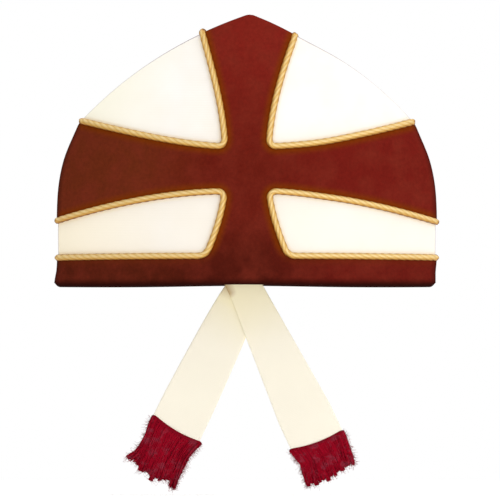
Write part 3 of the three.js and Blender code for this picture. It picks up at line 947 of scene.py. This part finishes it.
# Lappets: two cream bands sewn inside the back of the rim, wider at the foot. They cross just
# under the rim, the one that goes right lying in front, and hang with a slight wave.
LAPPETS = {
    # sizes in millimetres and angles in degrees; crease_shadow is how far down and across the
    # painted shadow where the lappets cross reaches
    "right": {
        "rim_x": -1.8,
        "lean": 25.3,
        "length": 124.6,
        "rim_width": 24.5,
        "end_width": 39.9,
        "widen_power": 1.0,
        "y": 40.1,
        "sway": -1.0,
        "skew": 5.0,
        "wave": 0.6,
        "crease_shadow": (4.0, 6.0),
    },
    "left": {
        "rim_x": -0.9,
        "lean": -26.1,
        "length": 116.0,
        "rim_width": 22.0,
        "end_width": 38.5,
        "widen_power": 0.4,
        "y": 41.9,
        "sway": 2.0,
        "skew": 4.2,
        "wave": -0.8,
        "crease_shadow": (20.0, 60.0),
    },
}
LAPPET_WIDENS = 0.82
LAPPET_TAB = 12.0
LAPPET_THICK = 1.5
LAPPET_COLUMNS, LAPPET_ROWS, LAPPET_EDGE = 28, 80, 5
SKEW_POWER = 4
WAVE_LENGTH = 64.0


def lappet_point(shape, along, across, out):
    """A point of a lappet, from its distance below the rim, its distance from the middle line and
    its distance behind the cloth's middle. The cloth sways back with the square of the distance."""
    lean = np.radians(shape["lean"])
    share = np.maximum(along, 0) / shape["length"]
    ripple = shape["wave"] * share**2 * np.sin(2 * np.pi * along / WAVE_LENGTH)
    return np.stack(
        np.broadcast_arrays(
            shape["rim_x"] + along * np.sin(lean) + across * np.cos(lean),
            shape["y"] + shape["sway"] * share**2 + ripple + out,
            -along * np.cos(lean) + across * np.sin(lean),
        ),
        -1,
    )


bend = np.linspace(-RIGHT, RIGHT, LAPPET_EDGE)[1:-1]
flat = np.linspace(1, -1, LAPPET_COLUMNS)
loop_across = np.concatenate([flat, 0 * bend - 1, flat[::-1], 0 * bend + 1])
loop_bulge = np.concatenate([0 * flat, -np.cos(bend), 0 * flat, np.cos(bend)])
loop_out = np.concatenate([0 * flat - 1, np.sin(bend), 0 * flat + 1, -np.sin(bend)])
for side, shape in LAPPETS.items():
    along = np.linspace(-LAPPET_TAB, shape["length"], LAPPET_ROWS)[:, None]
    flare = np.clip(along / (LAPPET_WIDENS * shape["length"]), 0, 1) ** shape["widen_power"]
    half = spread(shape["rim_width"], shape["end_width"], flare) / 2
    across = loop_across * (half - LAPPET_THICK / 2) + loop_bulge * LAPPET_THICK / 2
    slant = np.tan(np.radians(shape["skew"])) * across
    slant = slant * np.maximum(along / shape["length"], 0) ** SKEW_POWER
    points = lappet_point(shape, along + slant, across, loop_out * LAPPET_THICK / 2)
    faces = grid_faces(*points.shape[:2], round_columns=True).tolist()
    ring = np.arange(points.shape[1])
    faces += [ring[::-1].tolist(), (ring + (LAPPET_ROWS - 1) * len(ring)).tolist()]
    # the painted shadow where the lappets cross
    down, over = shape["crease_shadow"]
    crease_shadow = np.clip(1 - along / down, 0, 1) * np.clip(1 - (across + half) / over, 0, 1)
    mark = np.maximum(along, 0) - CREASE_SHADOW_MARK * crease_shadow
    places = np.stack(np.broadcast_arrays(across, along, mark), -1)
    add_piece(f"lappet_{side}_satin", points, faces, places, satin, f"lappet_{side}")

# Fringes: many loose crimson threads on a bound head, one fringe on the foot of each lappet. The
# left one is longer, drawn in at one side and has a lock that strays at the other.
FRINGES = {
    # borders are rows of distance from the head, left side and right side, foot is the length of the
    # threads from the left side to the right, and light is painted light from the right, drawing the
    # right fringe's threads lighter and the left's darker
    "right": {
        "borders": ((0, -21.6, 20.6), (5, -19.8, 20.6), (11, -17.4, 20.4), (27, -18.6, 20.0)),
        "foot": (24.6, 26.6, 26.8, 26.6, 24.4, 24.2, 21.2),
        "stray": 0.0,
        "light": 0.14,
        "seed": 3,
    },
    "left": {
        "borders": (
            (0, -19.8, 21.6),
            (5, -19.4, 19.8),
            (13, -17.2, 18.4),
            (27, -15.2, 19.8),
            (38, -15.2, 21.4),
        ),
        "foot": (32.6, 35.4, 35.6, 38.0, 34.8, 33.6, 36.2),
        "stray": -6.0,
        "light": -0.06,
        "seed": 8,
    },
}
FRINGE_THICK = 4.2
HEAD_RADIUS = 1.9
HEAD_AT = 1.5
HEAD_CURL = 2.6
HEAD_STEPS, HEAD_SIDES, HEAD_LEAST, HEAD_SHADE = 40, 10, 0.1, 0.2
LOCKS, LOCK_UNEVEN, LOCK_DRAWN = 13, 1.0, 16.0
THREADS, THREAD_RINGS, THREAD_SIDES, THREAD_RADIUS, THREAD_END = 640, 15, 4, 0.46, 0.6
THREAD_UNEVEN = 1.3
THREAD_SWAY, SWAY_EVERY = 1.2, 3.6
THREAD_DEPTH_SWAY, DEPTH_SWAY_EVERY = 0.5, 5.5
SWAY_SHARES = (0.2, 1.0)
FOOT_THINNER = 0.25
STRAY_PART = (0.16, 0.02)
LOCK_SHADE, THREAD_SHADE = 0.45, 0.55
FUZZ, FUZZ_RINGS, FUZZ_SIDES, FUZZ_RADIUS, FUZZ_LENGTH = 3200, 5, 3, 0.07, 4.5
FUZZ_LEAST = 0.5
FUZZ_SPREAD, FUZZ_HANG, FUZZ_CURL = (1.0, 0.5, 1.0), (0, 0, -0.4), 0.5
FUZZ_SHADES, FUZZ_SHARES = (0.15, 0.5, 1.4), (0.4, 0.4, 0.2)
FRONT = (0.0, -1.0, 0.0)
ASKEW = (0.3, 1.0, 0.2)


def fringe_point(shape, along, across, out):
    """A point of a fringe, from its distance below the end of its lappet, measured square to the
    slanting end, its distance from the middle and its distance behind the lappet's middle."""
    skew = np.radians(shape["skew"])
    drop = along * np.cos(skew) + across * np.sin(skew)
    across = across * np.cos(skew) - along * np.sin(skew)
    return lappet_point(shape, shape["length"] + drop, across, out)


# Crimson yarn is a deep cool red with bright and dark threads side by side, a dull surface and
# paler fuzz.
CRIMSON = linear("9A0A22")
CRIMSON_DARK = linear("4A0610")
CRIMSON_LIGHT = linear("963243")
CRIMSON_FUZZ = linear("A04A58")
BLOTCH = 5.0
yarn = new_material("crimson yarn", "crimson_fringe")
tree = yarn.node_tree
cloth = add_node(tree, "ShaderNodeAttribute", {}, attribute_name="cloth")
parts = add_node(tree, "ShaderNodeSeparateXYZ", {"Vector": cloth.outputs["Vector"]})
thread_shade = parts.outputs["Z"]
place = add_node(tree, "ShaderNodeTexCoord", {})
blotch = add_node(
    tree,
    "ShaderNodeTexNoise",
    {"Vector": place.outputs["Object"], "Scale": 1 / (BLOTCH * MM), "Detail": 2.0},
)
tone = lay_tints(
    tree,
    CRIMSON,
    (
        (CRIMSON_LIGHT, blotch.outputs[0], 0.53, 0.7, 0.8, "LINEAR"),
        (CRIMSON_DARK, thread_shade, 0.4, 0.05, 0.8, "LINEAR"),
        (CRIMSON_FUZZ, thread_shade, 1.0, 1.3, 1.0, "LINEAR"),
    ),
)
surface = add_node(
    tree,
    "ShaderNodeBsdfPrincipled",
    {"Base Color": tone, "Roughness": 0.8, "Specular IOR Level": 0.03},
)
add_node(tree, "ShaderNodeOutputMaterial", {"Surface": surface.outputs["BSDF"]})

for side, fringe in FRINGES.items():
    shape = LAPPETS[side]
    chance = np.random.default_rng(fringe["seed"])
    start = (np.arange(THREADS) + chance.random(THREADS)) / THREADS
    lock = np.minimum((start * LOCKS).astype(int), LOCKS - 1)
    lock_shade = chance.random(LOCKS)
    lock_reach = chance.normal(0, LOCK_UNEVEN, LOCKS)
    foot = np.interp(start, np.linspace(0, 1, len(fringe["foot"])), fringe["foot"])
    length = foot + lock_reach[lock] - np.abs(chance.normal(0, THREAD_UNEVEN, THREADS))
    layer = chance.uniform(-0.5, 0.5, THREADS) * (FRINGE_THICK - 2 * THREAD_RADIUS)
    wave = chance.uniform(*SWAY_SHARES, THREADS)[:, None]
    phase = chance.uniform(0, 2 * np.pi, THREADS)[:, None]
    share = np.linspace(0, 1, THREAD_RINGS)
    s = share * length[:, None]
    distance, left, right = np.array(fringe["borders"]).T
    across = spread(np.interp(s, distance, left), np.interp(s, distance, right), start[:, None])
    middle = (lock + 0.5) / LOCKS
    across = across + LOCK_DRAWN * share**2 * (middle - start)[:, None]
    across = across + fringe["stray"] * share**4 * smooth_step(*STRAY_PART, start)[:, None]
    across = across + THREAD_SWAY * wave * share * np.sin(s / SWAY_EVERY + phase)
    depth_sway = THREAD_DEPTH_SWAY * wave * share * np.cos(s / DEPTH_SWAY_EVERY + phase)
    out = layer[:, None] * (1 - FOOT_THINNER * share) + depth_sway
    curl = HEAD_CURL * (2 * start[:, None] - 1) ** 2 * (1 - share)
    path = fringe_point(shape, HEAD_AT + s - curl, across, out)
    radius = THREAD_RADIUS * spread(1.0, THREAD_END, share**3) * np.ones((THREADS, 1))
    threads = tube(path, np.broadcast_to(FRONT, path.shape), radius, THREAD_SIDES)
    shade = LOCK_SHADE * lock_shade[lock] + THREAD_SHADE * chance.random(THREADS)
    # painted light: the right fringe's threads are drawn lighter and the left's darker
    shade = np.clip(fringe["light"] + shade, 0, 1)

    # fine stray fibres stand off the threads all over
    owner = ((0.5 - 0.5 * np.cos(np.pi * chance.random(FUZZ))) * THREADS).astype(int)
    ring = chance.integers(1, THREAD_RINGS, FUZZ)
    way = chance.normal(0, 1, (FUZZ, 3)) * FUZZ_SPREAD + FUZZ_HANG
    way /= np.linalg.norm(way, axis=1, keepdims=True)
    curl = chance.normal(0, FUZZ_CURL, (FUZZ, 3))
    reach = np.linspace(0, 1, FUZZ_RINGS)[:, None] * chance.uniform(FUZZ_LEAST, 1, (FUZZ, 1, 1))
    root = path[owner, ring][:, None]
    fibre = root + way[:, None] * FUZZ_LENGTH * reach + curl[:, None] * reach**2
    beside = np.broadcast_to(np.cross(way, ASKEW)[:, None], fibre.shape)
    fuzz = tube(fibre, beside, np.full(fibre.shape[:2], FUZZ_RADIUS), FUZZ_SIDES)
    tint = chance.choice(FUZZ_SHADES, FUZZ, p=FUZZ_SHARES)

    # the bound head, a roll across the top
    share = np.linspace(-1, 1, HEAD_STEPS)
    reach = np.linspace(left[0], right[0], HEAD_STEPS)
    bind = fringe_point(shape, HEAD_AT - HEAD_CURL * share**2, reach, 0.0)
    swell = HEAD_RADIUS * np.sqrt(np.clip(1 - share**16, HEAD_LEAST, 1))
    roll = tube(bind, np.broadcast_to(FRONT, bind.shape), swell, HEAD_SIDES)

    points = [threads.reshape(-1, 3), fuzz.reshape(-1, 3), roll.reshape(-1, 3)]
    faces = tube_faces(THREADS, THREAD_RINGS, THREAD_SIDES)
    faces += tube_faces(FUZZ, FUZZ_RINGS, FUZZ_SIDES, len(points[0]))
    faces += tube_faces(1, HEAD_STEPS, HEAD_SIDES, len(points[0]) + len(points[1]))
    shades = np.concatenate(
        [
            np.repeat(shade, THREAD_RINGS * THREAD_SIDES),
            np.repeat(tint, FUZZ_RINGS * FUZZ_SIDES),
            np.full(len(points[2]), HEAD_SHADE),
        ]
    )
    points = np.concatenate(points)
    places = np.stack([0 * shades, 0 * shades, shades], -1)
    fringe_piece = add_piece(f"fringe_{side}_yarn", points, faces, places, yarn, f"fringe_{side}")

    # how much wider the lappet is below the rim than at it, as a mean over its length
    gain = shape["end_width"] - shape["rim_width"]
    gain = gain * (LAPPET_WIDENS / (shape["widen_power"] + 1) + 1 - LAPPET_WIDENS)

# Studio: a plain pale floor under the hanging fringes, soft white light from all round with more
# from the right, and a long lens from the front.
FLOOR_SIZE = 12.0
FLOOR_DROP = 0.006
PAPER = linear("FCFCFC")
floor_height = cad_box[0].z - FLOOR_DROP
floor_mesh = bpy.data.meshes.new("floor")
floor_mesh.from_pydata(
    [(x * FLOOR_SIZE, y * FLOOR_SIZE, floor_height) for x, y in ((-1, -1), (1, -1), (1, 1), (-1, 1))],
    [],
    [(0, 1, 2, 3)],
)
floor = bpy.data.objects.new("floor", floor_mesh)
bpy.context.scene.collection.objects.link(floor)
paper = new_material("white paper", "stage")
card = add_node(paper.node_tree, "ShaderNodeBsdfDiffuse", {"Color": PAPER})
add_node(paper.node_tree, "ShaderNodeOutputMaterial", {"Surface": card.outputs["BSDF"]})
floor_mesh.materials.append(paper)

# The room is white, brighter behind on the right and overhead. The backdrop itself is plain white.
ROOM = linear("FFFFFF")
ROOM_BRIGHT_SIDE = (0.35, 0.45, 0.0)
world = bpy.data.worlds.new("studio")
bpy.context.scene.world = world
world.use_nodes = True
tree = world.node_tree
tree.nodes.clear()
toward = add_node(tree, "ShaderNodeTexCoord", {})
parts = add_node(tree, "ShaderNodeSeparateXYZ", {"Vector": toward.outputs["Generated"]})
bright_side = add_node(
    tree,
    "ShaderNodeVectorMath",
    {0: toward.outputs["Generated"], 1: ROOM_BRIGHT_SIDE},
    operation="DOT_PRODUCT",
)
walls, ceiling = (
    add_node(
        tree,
        "ShaderNodeMapRange",
        {"Value": value, "From Min": low, "From Max": high, "To Min": least, "To Max": most},
    ).outputs["Result"]
    for value, low, high, least, most in (
        (bright_side.outputs["Value"], -0.25, 0.38, 0.48, 1.0),
        (parts.outputs["Z"], 0.45, 0.9, 0.0, 0.7),
    )
)
room_light = add_node(tree, "ShaderNodeMath", {0: walls, 1: ceiling}, operation="ADD")
seen = add_node(tree, "ShaderNodeLightPath", {})
strength = add_node(
    tree, "ShaderNodeMix", {0: seen.outputs["Is Camera Ray"], 2: room_light.outputs["Value"], 3: 1.0}
)
sky = add_node(tree, "ShaderNodeBackground", {"Color": ROOM, "Strength": strength.outputs[0]})
add_node(tree, "ShaderNodeOutputWorld", {"Surface": sky.outputs["Background"]})

LIGHTS = {
    # place, width and height, and power of each soft light
    "key": ((0.85, -1.25, 0.12), (1.1, 1.1), 7.6),
    "fill": ((-0.1, -2.6, 0.0), (1.6, 0.4), 9.8),
}
LIGHTS_AIM = Vector((0, 0, 0.03))
for name, (place, size, power) in LIGHTS.items():
    light = bpy.data.lights.new(name, "AREA")
    light.shape = "RECTANGLE"
    light.size, light.size_y = size
    light.energy = power
    lamp = bpy.data.objects.new(name, light)
    lamp.location = place
    lamp.rotation_mode = "QUATERNION"
    lamp.rotation_quaternion = (LIGHTS_AIM - lamp.location).to_track_quat("-Z", "Y")
    bpy.context.scene.collection.objects.link(lamp)

LENS = 1194.0
CAMERA_PLACE = Vector((0.0023, -12.0, -0.13))
CAMERA_AIM = Vector((0.0023, 0, 0.0262))
camera = bpy.data.objects.new("camera", bpy.data.cameras.new("camera"))
camera.data.lens = LENS
camera.location = CAMERA_PLACE
camera.rotation_mode = "QUATERNION"
camera.rotation_quaternion = (CAMERA_AIM - CAMERA_PLACE).to_track_quat("-Z", "Y")
bpy.context.scene.collection.objects.link(camera)
bpy.context.scene.camera = camera
bpy.context.scene.view_settings.view_transform = "Standard"
